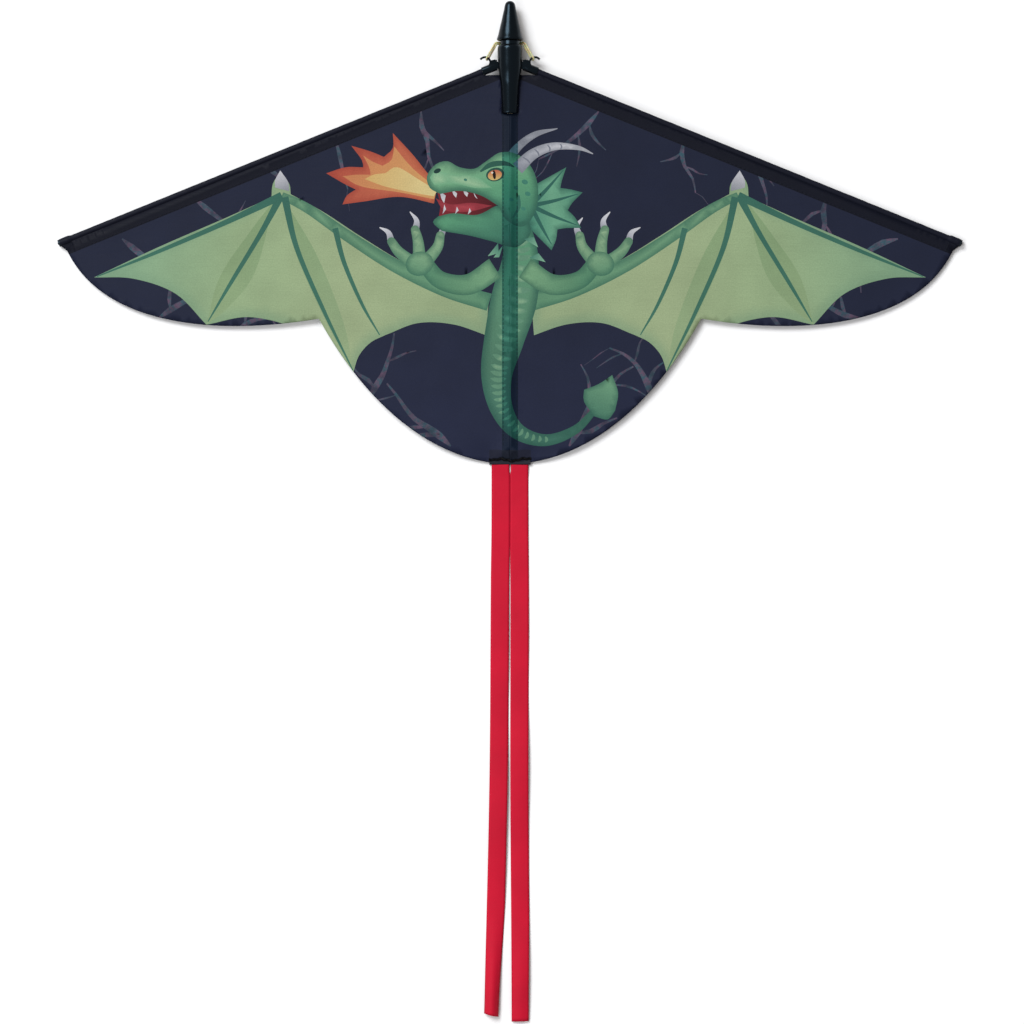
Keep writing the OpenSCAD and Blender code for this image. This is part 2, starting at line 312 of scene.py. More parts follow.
def draw_wings():
    both(loop([(14, 197), (38, 190), (70, 177), (100, 159), (126, 142), (148, 130)],
              [(149, 123), (155, 115)], [(160, 123), (161, 132)],
              [(192, 146), (236, 165), (281, 186)], [(254, 187), (226, 197), (205, 218)],
              [(174, 213), (138, 224), (106, 251)], [(102, 239), (94, 230), (84, 225)],
              [(62, 217), (38, 218), (14, 226)]),
         (20, 205), (270, 180), ("a9c688", "b1ca8c", "a5c88a", "8ac090"), "7fb184", 9, 0.55)
    for fold in (loop([(159, 134), (176, 156), (196, 186), (205, 218)],
                      [(190, 206), (172, 182), (159, 134)]),
                 loop([(151, 136), (146, 166), (128, 208), (106, 251)],
                      [(112, 218), (130, 172), (151, 136)])):
        both(fold, (150, 130), (120, 240), ("8fb878", "a4c486"))
    both(stroke([(14, 203, 12), (44, 194, 10.5), (78, 178, 9), (110, 158, 7.6), (136, 140, 6.6),
                 (154, 131, 5)]), (20, 200), (150, 120), ("5fa878", "74b582"), "2f7f63", 3.2, 0.75)
    for rib in ([(154, 131, 5.4), (192, 149, 3.6), (236, 168, 2.6), (279, 185.5, 0.7)],
                [(155, 132, 5.0), (168, 156, 3.4), (188, 189, 2.6), (204, 216, 0.7)],
                [(152, 132, 5.0), (144, 166, 3.4), (126, 208, 2.6), (106, 249, 0.7)],
                [(118, 153, 4.0), (112, 176, 3.0), (100, 204, 2.2), (88, 225, 0.7)]):
        both(stroke(rib), (150, 120), (150, 240), ("2a7a66", "39886d"))
    both(loop([(149, 128), (149.6, 122), (155, 114)], [(158.6, 121), (158, 128)]),
         (150, 128), (155, 114), ("9aa0ac", "e4e4ec"))


def draw_body():
    line = [(3, 150, 20), (7, 172, 24), (3, 200, 31), (-4, 228, 27), (-9, 252, 21), (-6, 274, 15.5),
            (5, 290, 11), (24, 296, 8), (44, 289, 6), (58, 275, 4)]
    shade(stroke(line), ramp((4, 150), (0, 290), "4fb07c", "5aa67a", "4c9170", "3d8a72"),
          "1f6f5c", 6.5, 0.85)
    spine = smooth(line)
    t, n = along(spine)
    i = 6
    while i < len(spine) - 16:      # the belly plates
        c, w = spine[i, :2] - n[i] * spine[i, 2] * 0.06, spine[i, 2] * 0.27
        gap = max(2.3, w * 0.62)
        corners = ((1, 0), (0.6, 0.55), (0, 0.8), (-0.6, 0.55), (-1, 0), (-0.5, -0.2), (0, -0.1),
                   (0.5, -0.2), (1, 0))
        plate = np.array([c + n[i] * w * across + t[i] * gap * back for across, back in corners])
        shade(smooth(plate, 1.6)[:-1], flat("8fc995"), "4f9c79", 1.8, 0.8)
        i += max(2, int(round(gap / 1.55)))
    shade(loop([(57, 280), (66, 282), (71, 276)], [(73, 264), (69, 252)], [(60, 258), (50, 262)],
               [(50, 270), (57, 280)]), ramp((56, 280), (66, 254), "3f8f70", "6fb886"),
          "1f6f5c", 3, 0.7)
    for k in range(7):              # fins along the back
        j = 8 + k * 9
        if j >= len(spine) - 8:
            break
        base = spine[j, :2] + n[j] * spine[j, 2] * 0.47
        tip = base + n[j] * (7.5 - 0.6 * k) + t[j] * 3.5
        fin = loop([base - t[j] * 4.2, tip], [base + t[j] * 4.2], step=1.6)
        ink(fin, ramp(base, tip, "2f8f78", "7cc79a"))


def draw_arms():
    both(stroke([(10, 180, 15), (28, 191, 14), (47, 188, 12), (58, 176, 10.5)]),
         (20, 176), (50, 196), ("79bd84", "4b9c70"), "2c7b5f", 4, 0.8)
    for toe, claw in (([(57, 176, 9), (49, 166, 7.2), (47, 158, 5.8)],
                       [(47, 159, 5.2), (45, 152, 3.4), (49, 146, 0.6)]),
                      ([(61, 174, 9), (62, 162, 7.2), (64, 154, 5.8)],
                       [(64, 155, 5.2), (63, 148, 3.4), (67.5, 142, 0.6)]),
                      ([(65, 177, 9), (75, 169, 7.2), (80, 162, 5.8)],
                       [(80, 163, 5.2), (82, 156, 3.4), (88, 152.5, 0.6)])):
        both(stroke(claw, 1.4), claw[0], claw[2], ("8f94a4", "d7d9e4", "f0f0f6"))
        both(stroke(toe, 1.8, blunt=True), (60, 150), (62, 182), ("a5d29a", "66b07c"),
             "2f8063", 2.6, 0.75)
    both(oval(61, 177, 9.5, 8.2, 15), (58, 168), (64, 186), ("8cc78e", "4f9f73"), "2f8063", 4, 0.8)


def draw_flame():
    shade(loop([(-49, 124), (-58, 113), (-66, 103), (-79, 89)], [(-79, 99), (-85, 105)],
               [(-95, 101), (-107, 97.5)], [(-100, 107), (-99, 112)], [(-111, 112), (-124, 116)],
               [(-112, 123), (-104, 127)], [(-110, 131), (-113, 137)],
               [(-98, 135), (-74, 132), (-49, 137)]),
          ramp((-50, 130), (-122, 112), "ef7c3a", "e5673a", "d9502c"), "c23a22", 4, 0.6)
    ink(loop([(-49, 126), (-62, 116), (-70, 108), (-78, 98)], [(-80, 107), (-86, 111)],
             [(-93, 108), (-99, 104)], [(-95, 112), (-94, 117)], [(-104, 117), (-113, 118)],
             [(-100, 125), (-74, 129), (-49, 134)]),
        ramp((-50, 130), (-112, 112), "f6b04a", "f28c40"))
    ink(loop([(-49, 128), (-62, 120), (-76, 112), (-84, 116)], [(-92, 117), (-98, 120)],
             [(-84, 125), (-66, 129), (-49, 132)]),
        ramp((-50, 130), (-96, 118), "fbe58a", "f8c455"))


def draw_teeth(teeth, outline):
    for u, d, h in teeth:
        ink(loop(*outline(u, d, h), step=1.2), ramp((u, d), (u, d + h), "c9ccd6", "f6f6fa"))


def draw_mouth():
    shade(loop([(-9, 138), (-22, 143), (-38, 142), (-47, 144)], [(-52, 149), (-46, 155)],
               [(-28, 158), (-12, 162), (4, 166), (14, 156), (8, 144), (-9, 138)]),
          ramp((-30, 140), (-10, 164), "4db07c", "2f8f70"), "1d6b58", 4, 0.8)
    ink(loop([(-8, 137), (-20, 129), (-36, 126), (-49, 129)], [(-47, 137), (-48, 145)],
             [(-38, 143), (-22, 144), (-8, 137)]), ramp((-10, 137), (-48, 137), "5c0d1c", "9c1a2c"))
    shade(loop([(-12, 138), (-26, 136), (-40, 137), (-50, 133)],
               [(-44, 141), (-28, 142), (-12, 138)]), flat("d23a4c"), "a01c30", 2, 0.7)
    draw_teeth(((-45, 128.6, 7.5), (-37, 127, 5.5), (-29.5, 127, 5), (-22.5, 129, 4.4)),
               lambda u, d, h: ([(u - 2.2, d - 0.4), (u - 1.3, d + h * 0.6), (u + 0.6, d + h)],
                                [(u + 2.2, d)]))
    draw_teeth(((-43.5, 143.6, -6.5), (-35, 143.6, -5), (-26.5, 144, -4.4)),
               lambda u, d, h: ([(u - 2, d), (u - 0.8, d + h)], [(u + 1.6, d)]))


def draw_head():
    shade(stroke([(-3, 111, 7), (5, 99, 5.4), (17, 90, 4), (32, 86, 0.6)], 1.8),
          ramp((-3, 110), (30, 87), "7f8796", "c9ccd8"), "6a7182", 2, 0.5)
    shade(loop([(10, 128), (22, 121), (38, 112)], [(35, 121), (34, 126)], [(41, 127), (49, 129)],
               [(42, 136), (39, 141)], [(44, 146), (48, 153)], [(38, 153), (32, 154)],
               [(31, 161), (28, 168)], [(20, 160), (12, 152)]),
          ramp((12, 140), (46, 136), "2f9c7e", "67bf92", "4aa884"), "19695a", 3, 0.7)
    for u, d in ((36, 114), (46, 130), (45, 151), (28, 164)):
        ink(stroke([(14, 138, 3.2), ((14 + u) / 2, (138 + d) / 2 + 0.6, 2.2), (u, d, 0.5)]),
            flat("1d7465"))
    draw_mouth()
    shade(loop([(-8, 138), (-20, 131), (-34, 128), (-47, 130)],
               [(-54, 126), (-56, 118), (-50, 110), (-42, 108), (-34, 112), (-24, 113), (-16, 108),
                (-6, 102), (6, 104), (15, 113), (19, 127), (17, 142), (9, 152), (-2, 148),
                (-8, 138)]),
          ramp((-14, 102), (-4, 150), "8ad294", "56b880", "2f9474"), "1f705b", 5.5, 0.8)
    shade(loop([(-50, 114), (-38, 117), (-24, 118), (-12, 126)],
               [(-24, 126), (-38, 123), (-51, 124)], [(-54, 119), (-50, 114)]),
          flat("a2dca2"), "6cc38b", 3, 0.9)
    ink(oval(-49, 114.5, 2.6, 1.5, -25, 12), flat("12463f"))
    ink(oval(-10, 117, 6.2, 4.6, -12), flat("1b5f50"))
    ink(oval(-10.2, 117.4, 4.8, 3.4, -12), ramp((-10, 113), (-10, 121), "e8452f", "f7d35c"))
    ink(oval(-10.6, 117.2, 1.1, 3.1, -6, 12), flat("180c10"))
    ink(oval(-12.0, 115.8, 0.8, 0.6, 0, 8), flat("fff6e0"))
    ink(stroke([(-20, 115, 1.2), (-13, 110.5, 3.6), (-4, 109.5, 3.2), (3, 112, 0.8)], 1.6),
        flat("1b6a57"))
    ink(stroke([(2, 146, 1.2), (6, 139, 2.2), (6, 131, 1.2)], 1.8), flat("24806a"))
    shade(stroke([(5, 113, 9), (16, 103, 7.2), (30, 98, 5.4), (46, 99, 3), (56, 103, 0.6)], 1.8),
          ramp((5, 113), (54, 102), "a7acba", "d6d8e2", "f2f2f7"), "7d8496", 2.4, 0.6)
    for u, d, a in ((11, 107.4, 42), (18, 102.2, 28), (26, 99.2, 14), (34, 98.2, 2)):
        c, s = turned(a + 90)
        w = 3.6 - (u - 11) * 0.055
        ink(stroke([(u - c * w, d + s * w - 0.6, 0.7), (u + 0.9, d, 1.1),
                    (u + c * w, d - s * w + 0.6, 0.7)], 1.4), flat("8b91a2"))
    for u, d, r in ((10, 122, 2.2), (12, 130, 2.0), (4, 126, 1.7), (1, 134, 1.6), (9, 140, 1.7),
                    (-30, 120.5, 1.2)):
        ink(oval(u, d, r, r * 0.75, 20, 10), flat("2c957a"))
    for base, tip in (((12, 158), (19, 166)), ((15, 170), (24, 176)), ((-6, 166), (-15, 172))):
        b, q = np.array(base, float), np.array(tip, float)
        v = (q - b) / np.linalg.norm(q - b)
        m = np.array([-v[1], v[0]]) * 3.6
        ink(loop([b + m, q], [b - m], step=1.8), ramp(base, tip, "2f8f78", "84cda0"))


draw_background()
draw_wings()
draw_body()
draw_arms()
draw_flame()
draw_head()


# -------- mesh helpers
def linked(name, data):
    obj = bpy.data.objects.new(name, data)
    bpy.context.scene.collection.objects.link(obj)
    return obj


def new_object(name, verts, faces, angle=None):
    mesh = bpy.data.meshes.new(name)
    mesh.from_pydata([tuple(v) for v in verts], [], [tuple(f) for f in faces])
    mesh.validate()
    mesh.shade_smooth()
    if angle is not None:
        mesh.set_sharp_from_angle(angle=radians(angle))
    return linked(name, mesh)


def paint(obj, *mats):
    obj.data.materials.clear()
    for m in mats:
        obj.data.materials.append(m)


def finish(obj, material, replaces=(), body="hub"):
    """Gives a piece its material, the nodes it stands for and the body it rides on."""
    paint(obj, material)
    if replaces:
        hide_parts(*replaces)
    if body:
        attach(obj, body)
    return obj


def settle(obj):
    """Applies the object's modifiers."""
    bpy.context.view_layer.update()
    evaluated = obj.evaluated_get(bpy.context.evaluated_depsgraph_get())
    mesh = bpy.data.meshes.new_from_object(evaluated)
    obj.modifiers.clear()
    obj.data = mesh


def thicken(obj, thickness, **settings):
    mod = obj.modifiers.new("thickness", "SOLIDIFY")
    mod.thickness = thickness
    mod.offset = 0
    for key, value in settings.items():
        setattr(mod, key, value)


def store(obj, name, kind, domain, field, values):
    """Keeps values on the mesh for its material to read."""
    layer = obj.data.attributes.new(name, kind, domain)
    layer.data.foreach_set(field, np.asarray(values, np.float32).ravel())


def store_weave(obj, coords):
    """Cloth coordinates, where the cloth materials read their weave from."""
    store(obj, "weave", "FLOAT_VECTOR", "POINT", "vector", coords)


def points_of(obj):
    return np.array([v.co for v in obj.data.vertices], float).reshape(-1, 3)


def bend_between(obj, weights):
    """Turns the weights into a share of the motion at each vertex, then puts the piece back at rest; it is not
    bound to any body here.
    """
    n = len(obj.data.vertices)
    rest = np.zeros(n * 3, np.float32)
    obj.data.vertices.foreach_get("co", rest)
    w = np.clip(np.asarray(weights, float), 0, 1)
    line = np.zeros((n, 3), np.float32)
    line[:, 0] = 0.5 - np.sin(np.arcsin(1 - 2 * w) / 3)
    obj.data.vertices.foreach_set("co", line.ravel())
    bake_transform(obj)
    obj.data.vertices.foreach_set("co", rest)
    obj.data.update()


def tube(path, radii, segments):
    """Rings round a path of points, with capped ends."""
    path = np.asarray(path, float)
    n = len(path)
    radii = np.broadcast_to(np.asarray(radii, float), (n,))
    tangents = np.gradient(path, axis=0)
    tangents /= np.linalg.norm(tangents, axis=1)[:, None]
    up = np.array([0.0, 0.0, 1.0])
    if abs(tangents[0] @ up) > 0.9:
        up = np.array([1.0, 0.0, 0.0])
    verts = []
    side = np.cross(tangents[0], up)
    for i in range(n):
        side = side - tangents[i] * (side @ tangents[i])
        side /= np.linalg.norm(side)
        other = np.cross(side, tangents[i])
        for k in range(segments):
            a = 2 * pi * k / segments
            verts.append(path[i] + radii[i] * (side * cos(a) + other * sin(a)))
    faces = []
    for i in range(0, (n - 1) * segments, segments):
        for k in range(segments):
            m = (k + 1) % segments
            faces.append((i + k, i + m, i + segments + m, i + segments + k))
    faces.append(tuple(range(segments - 1, -1, -1)))
    faces.append(tuple((n - 1) * segments + k for k in range(segments)))
    return verts, faces


def joined(parts):
    verts, faces = [], []
    for v, f in parts:
        k = len(verts)
        verts.extend(v)
        faces.extend(tuple(i + k for i in face) for face in f)
    return verts, faces


def grid_faces(rows, cols):
    return [(i * cols + k, i * cols + k + 1, (i + 1) * cols + k + 1, (i + 1) * cols + k)
            for i in range(rows - 1) for k in range(cols - 1)]


def stitch(ends, base, arch, radius):
    """One stitch of thread through (u, d) points, arched over the sail between its ends."""
    line = []
    for k, (u, d) in enumerate(ends):
        rise = sin(pi * k / (len(ends) - 1))
        line.append(place(u, d, sail_z(u, d) + base + arch * rise))
    return tube(line, radius * MM, 6)


def lathe(profile, segments):
    """A solid turned round the barrel's middle line, from points (radius, d)."""
    verts, faces, rings = [], [], []
    for r, d in profile:
        y = NOSE_Y - d * MM
        if r < 1e-6:
            rings.append([len(verts)])
            verts.append((0, y, PIVOT_Z * MM))
            continue
        rings.append(list(range(len(verts), len(verts) + segments)))
        for k in range(segments):
            a = 2 * pi * k / segments
            verts.append((r * cos(a) * MM, y, (PIVOT_Z + r * sin(a)) * MM))
    for a, b in zip(rings, rings[1:]):
        for k in range(segments):
            m = (k + 1) % segments
            if len(a) == 1:
                faces.append((a[0], b[k], b[m]))
            elif len(b) == 1:
                faces.append((a[m], a[k], b[0]))
            else:
                faces.append((a[m], a[k], b[k], b[m]))
    return verts, faces


def prism(points, z0, z1):
    """A block from an outline in world x and y."""
    n = len(points)
    verts = [(x, y, z0) for x, y in points] + [(x, y, z1) for x, y in points]
    faces = [tuple(range(n - 1, -1, -1)), tuple(range(n, 2 * n))]
    faces += [(i, (i + 1) % n, n + (i + 1) % n, n + i) for i in range(n)]
    return verts, faces


# -------- materials
def nodes_of(name):
    mat = bpy.data.materials.new(name)
    mat.use_nodes = True
    tree = mat.node_tree
    return mat, tree, next(n for n in tree.nodes if n.type == "BSDF_PRINCIPLED")


def fill(node, inputs):
    """Sets a node's inputs to values, or links them to what other nodes give."""
    for key, value in inputs.items():
        if hasattr(value, "node"):
            node.id_data.links.new(value, node.inputs[key])
        else:
            node.inputs[key].default_value = value
    return node


def add(tree, kind, inputs=None, **settings):
    node = tree.nodes.new(kind)
    for key, value in settings.items():
        setattr(node, key, value)
    return fill(node, inputs or {})


def attribute_of(tree, name, output):
    return add(tree, "ShaderNodeAttribute", attribute_name=name).outputs[output]


def noise(tree, vector, scale, detail=4.0, rough=0.55):
    return add(tree, "ShaderNodeTexNoise", {"Vector": vector, "Scale": scale, "Detail": detail,
                                            "Roughness": rough}).outputs["Fac"]


def wave(tree, vector, scale, distortion, direction, **more):
    return add(tree, "ShaderNodeTexWave",
               {"Vector": vector, "Scale": scale, "Distortion": distortion, **more},
               wave_type="BANDS", bands_direction=direction).outputs["Fac"]


def stretched(tree, vector, *scale):
    return add(tree, "ShaderNodeMapping", {"Vector": vector, "Scale": scale}).outputs["Vector"]


def remap(tree, value, a, b, c, d):
    return add(tree, "ShaderNodeMapRange", {"Value": value, "From Min": a, "From Max": b,
                                            "To Min": c, "To Max": d}).outputs["Result"]


def times(tree, a, b):
    return add(tree, "ShaderNodeMath", {0: a, 1: b}, operation="MULTIPLY").outputs[0]


def rgba(code):
    return (*[float(c) for c in rgb(code)], 1.0)


def mix(tree, fac, a, b, mode="MIX"):
    return add(tree, "ShaderNodeMix", {0: fac, 6: a, 7: b}, data_type="RGBA",
               blend_type=mode).outputs[2]


def tint(tree, base, value, a, b, dark, light):
    """Darkens and lightens a colour with a value that runs from a to b."""
    tone = remap(tree, value, a, b, dark, light)
    grey = add(tree, "ShaderNodeCombineColor", {0: tone, 1: tone, 2: tone}).outputs[0]
    return mix(tree, 1.0, base, grey, "MULTIPLY")


def bump(tree, height, distance, strength, **under):
    return add(tree, "ShaderNodeBump", {"Height": height, "Strength": strength,
                                        "Distance": distance, **under}).outputs["Normal"]


def rest_position(tree):
    return add(tree, "ShaderNodeTexCoord").outputs["Object"]


def printed_colour(tree, weave):
    """The print, with mottled streaks where the branches are."""
    mottle = noise(tree, weave, 0.22, 5.0, 0.75)
    streaks = mix(tree, remap(tree, mottle, 0.44, 0.56, 0.0, 1.0), rgba("35525e"), rgba("5f4a5e"))
    patchy = remap(tree, noise(tree, weave, 0.12), 0.35, 0.62, 0.15, 0.9)
    amount = times(tree, attribute_of(tree, "streak", "Fac"), patchy)
    return mix(tree, amount, attribute_of(tree, "print", "Color"), streaks)


def cloth_material(name, colour=None, back=False, translucent=0.0, streaks=0.03):
    """Woven polyester in one colour, or in the print where no colour is given."""
    mat, tree, shader = nodes_of(name)
    weave = attribute_of(tree, "weave", "Vector")
    threads = [wave(tree, weave, 0.314 / 0.42, 0.25, axis, **{"Detail": 1.0, "Detail Scale": 3.0})
               for axis in "XY"]
    mesh_height = times(tree, *threads)
    lines = noise(tree, stretched(tree, weave, 0.035, 1.1, 1.0), 1.0, 3.0, 0.6)
    if colour:
        base = add(tree, "ShaderNodeRGB").outputs[0]
        base.default_value = rgba(colour)
    else:
        base = printed_colour(tree, weave)
    base = tint(tree, base, lines, 0.3, 0.7, 1 - streaks, 1 + streaks)
    base = tint(tree, base, noise(tree, weave, 0.035, 3.0, 0.5), 0.3, 0.7, 0.93, 1.06)
    grain = noise(tree, weave, 1.1, 3.0, 0.7)
    base = tint(tree, base, grain, 0.3, 0.7, 1 - 4 * streaks, 1 + 4 * streaks)
    # painted shade: the colour darkens in the weave's hollows and lightens on its raised threads
    base = tint(tree, base, mesh_height, 0.0, 1.0, 0.94, 1.05)
    if back:
        base = mix(tree, 0.14, base, rgba("7c8092"))
    fine = bump(tree, mesh_height, 0.00006, 0.55)
    cockled = noise(tree, weave, 0.08, 2.0, 0.5)
    fill(shader, {"Base Color": base, "Roughness": remap(tree, lines, 0.3, 0.7, 0.52, 0.66),
                  "Specular IOR Level": 0.12,
                  "Normal": bump(tree, cockled, 0.0004, 0.35, Normal=fine)})
    if translucent:
        through = add(tree, "ShaderNodeBsdfTranslucent", {"Color": base}).outputs[0]
        mixed = add(tree, "ShaderNodeMixShader", {0: translucent, 1: shader.outputs[0], 2: through})
        out = next(n for n in tree.nodes if n.type == "OUTPUT_MATERIAL")
        fill(out, {"Surface": mixed.outputs[0]})
    return mat


def plastic_material(name, code, rough=0.2, gloss=0.3):
    mat, tree, shader = nodes_of(name)
    where = rest_position(tree)
    fine = noise(tree, where, 900.0, 5.0, 0.6)
    broad = noise(tree, where, 108.0, 2.0, 0.5)
    fill(shader, {"Base Color": tint(tree, rgba(code), broad, 0.3, 0.7, 0.85, 1.2),
                  "Roughness": remap(tree, fine, 0.3, 0.75, rough * 0.9, rough * 1.25),
                  "Specular IOR Level": gloss, "Specular Tint": (0.5, 0.78, 1.0, 1.0),
                  "Normal": bump(tree, fine, 0.00001, 0.06)})
    return mat


def grained_material(name, scale, grain, contrast, colours, rough, relief, **more):
    """A material whose colour, roughness and relief follow one stretched noise."""
    mat, tree, shader = nodes_of(name)
    value = noise(tree, stretched(tree, rest_position(tree), *scale), 1.0, *grain)
    amount = remap(tree, value, *contrast, 0.0, 1.0)
    fill(shader, {"Base Color": mix(tree, amount, *map(rgba, colours)),
                  "Roughness": remap(tree, value, 0.3, 0.7, *rough),
                  "Normal": bump(tree, value, *relief), **more})
    return mat


def thread_material(name, code):
    mat, tree, shader = nodes_of(name)
    twist = wave(tree, rest_position(tree), 700.0, 1.5, "DIAGONAL", Detail=2.0)
    # painted shade: the thread darkens in its twist grooves and lightens on the ridges
    fill(shader, {"Base Color": tint(tree, rgba(code), twist, 0.0, 1.0, 0.7, 1.2),
                  "Roughness": 0.6, "Specular IOR Level": 0.15,
                  "Normal": bump(tree, twist, 0.00005, 0.6)})
    return mat


SAIL = cloth_material("sail_print", translucent=0.1)
SAIL_BACK = cloth_material("sail_print_back", back=True, translucent=0.1)
EDGE = cloth_material("edge_cloth", "090c1a")
POCKET = cloth_material("pocket_cloth", "151a29")
PATCH = cloth_material("patch_cloth", "1f2028")
RIBBON = cloth_material("ribbon_cloth", "bd102d", translucent=0.1, streaks=0.01)
PLASTIC = plastic_material("black_plastic", "030406", gloss=0.24)
RUBBER = plastic_material("nose_rubber", "030405", rough=0.22, gloss=0.2)
VINYL = plastic_material("cap_vinyl", "08090c", rough=0.4)
ROD = grained_material(
    "glass_rod", (260.0, 260.0, 3200.0), (6.0, 0.65), (0.35, 0.65), ("a99f7c", "dcd3b4"),
    (0.28, 0.5), (0.00004, 0.5), **{"Subsurface Weight": 0.1, "Subsurface Scale": 0.001})
STEEL = grained_material(
    "pin_steel", (400.0, 400.0, 9000.0), (4.0, 0.6), (0.0, 1.0), ("9da0a6", "c9ccd2"),
    (0.22, 0.42), (0.00002, 0.4), Metallic=1.0)
ELASTIC = grained_material(
    "elastic", (260.0, 260.0, 260.0), (3.0, 0.5), (0.3, 0.7), ("a5a372", "bab88c"),
    (0.25, 0.42), (0.00001, 0.3), **{"Subsurface Weight": 0.5, "Subsurface Scale": 0.002})
BLACK_THREAD = thread_material("black_thread", "0a0a0d")
NAVY_THREAD = thread_material("navy_thread", "10131f")


# -------- the sail
PATCH_TOP, PATCH_HALF = 302.5, 14
SPAR_ROWS = 330         # as far along the spar as rays and rows are drawn


def edge_point(s, n):
    """A point of the cloth s along the spar from the wing pivot and n back from its middle line."""
    return (PIVOT_U + s * cos(SWEEP) - n * sin(SWEEP),
            PIVOT_D + s * sin(SWEEP) + n * cos(SWEEP))


def sail_outline():
    """The right half's outline: the barrel's notch, the leading edge, the tip and the lobe."""
    rear = BARREL_REAR_D + 0.15
    notch = [(0, rear), (5.75, rear), (5.85, 72), (5.6, 70), (5.4, 66), (5.4, 60), (5.9, 55),
             (6.9, 50.2), (12, 50.0), (16, 50.2)]
    lead = [edge_point(s, SHEET_FROM) for s in np.arange(15.6, SPAR_END - 1.5, 4.0)]
    lead += [edge_point(SPAR_END - 0.6, SHEET_FROM), edge_point(SPAR_END - 2.0, 4.2)]
    tip = edge_point(SPAR_END - 3.6, 7.0)
    wing = bezier(tip, (tip[0] - 24, tip[1] + 50), (200, 226), (129, 214), 66)
    lobe = bezier((129, 214), (94, 278), (46, BODY_LEN), (0, BODY_LEN), 56)[1:]
    return np.array(notch + lead + [tuple(p) for p in wing] + [tuple(p) for p in lobe])


def sail_grid():
    """Points for the cloth to bend at: rays from the wing pivot, and rows beside the spine."""
    pts = []
    ray_gap = 0.85
    for a in np.arange(0.4, degrees(EDGE_ANGLE), ray_gap):
        for r in np.arange(12, SPAR_ROWS, 5.5):
            if r * radians(ray_gap) < 1.2 and int(a / ray_gap) % 2:
                continue
            pts.append((PIVOT_U + r * sin(radians(a)),
                        PIVOT_D + r * cos(radians(a))))
    for u in (0.9, 1.8, 2.7, 3.6, 4.5):
        for d in np.arange(BARREL_REAR_D + 3, BODY_LEN, 4.5):
            pts.append((u, d))
    return np.array(pts)


OUTLINE = sail_outline()
SEAM_LINES = (
    [(POCKET_HALF, d) for d in np.arange(BARREL_REAR_D + 2, 311.5, 4.5)],
    [(0, PATCH_TOP), (5, PATCH_TOP + 0.3), (9, PATCH_TOP - 0.2), (PATCH_HALF, PATCH_TOP),
     (PATCH_HALF, 309.6)],
    [edge_point(s, EDGE_BAND) for s in np.arange(2, SPAR_ROWS, 5.0)])


def in_band(p):
    """Whether points lie in the darker band sewn along the leading edge."""
    x, y = np.abs(p[:, 0]) - PIVOT_U, p[:, 1] - PIVOT_D
    return -x * sin(SWEEP) + y * cos(SWEEP) < EDGE_BAND


def print_colour(p, layer):
    """The print's colour on dark cloth: darker and less bright than the drawing."""
    if layer < 0:
        return ramp((0, 60), (0, 310), "171c2f", "191e31", "1d2238")(p)
    c = LAYERS[layer][1](p)
    tone = (c @ np.array([0.2126, 0.7152, 0.0722]))[:, None]
    return 0.57 * (0.78 * c + 0.22 * tone)


def triangulate(shapes):
    """Splits the half sail into triangles that follow its seams and the outline of every shape."""
    coords = [tuple(p) for p in OUTLINE]
    edges = [(i, (i + 1) % len(OUTLINE)) for i in range(len(OUTLINE))]

    def constrain(line, closed=False):
        k = len(coords)
        coords.extend((float(x), float(y)) for x, y in line)
        edges.extend((k + i, k + i + 1) for i in range(len(line) - 1))
        if closed:
            edges.append((k + len(line) - 1, k))

    for line in SEAM_LINES:
        constrain(line)
    for poly in shapes:
        if poly[:, 0].max() > 0:
            constrain(poly, True)
    grid = sail_grid()
    grid = grid[inside(OUTLINE, grid)]
    grid = grid[distance(OUTLINE, grid) > 0.8]
    coords.extend((float(x), float(y)) for x, y in grid)
    out = delaunay_2d_cdt([Vector(c) for c in coords], edges, [], 0, 1e-4)
    pts = np.array([(v.x, v.y) for v in out[0]])
    tris = np.array([f for f in out[2] if len(f) == 3])
    tris = tris[inside(OUTLINE, pts[tris].mean(axis=1))]
    used = np.unique(tris)
    renumber = np.full(len(pts), -1)
    renumber[used] = np.arange(len(used))
    return pts[used], renumber[tris]


def print_and_shade_sail(obj, corners, centres, layer):
    """Colours each triangle's corners, paints shade where the pocket and the tape lie behind the cloth, then lays
    the edge band over them.
    """
    points, centres = corners.reshape(-1, 2), np.repeat(centres, 3, axis=0)
    corner_layer = np.repeat(layer, 3)
    colours = np.ones((len(points), 4))
    for k in np.unique(corner_layer):
        here = corner_layer == k
        colours[here, :3] = print_colour(points[here], k)
    off, back = np.abs(centres[:, 0]), centres[:, 1]
    # painted shade: the print darkens and turns teal where the pocket's layers lie behind the cloth
    colours[(off < POCKET_HALF) & (back > BARREL_REAR_D), :3] *= np.array([0.2, 0.5, 0.56])
    # painted shade: the tape behind the sail shows through the cloth as a darker grey
    tape = (off < PATCH_HALF) & (back > PATCH_TOP)
    colours[tape, :3] = colours[tape, :3] * 0.5 + rgb("3a3a44") * 0.12
    colours[in_band(centres), :3] = rgb("090c19")
    store(obj, "print", "FLOAT_COLOR", "CORNER", "color", colours)
    streaks = np.array([LAYERS[k][2] if k >= 0 else 0.0 for k in layer], np.float32)
    streaks[in_band(centres[::3])] = 0
    store(obj, "streak", "FLOAT", "FACE", "value", streaks)


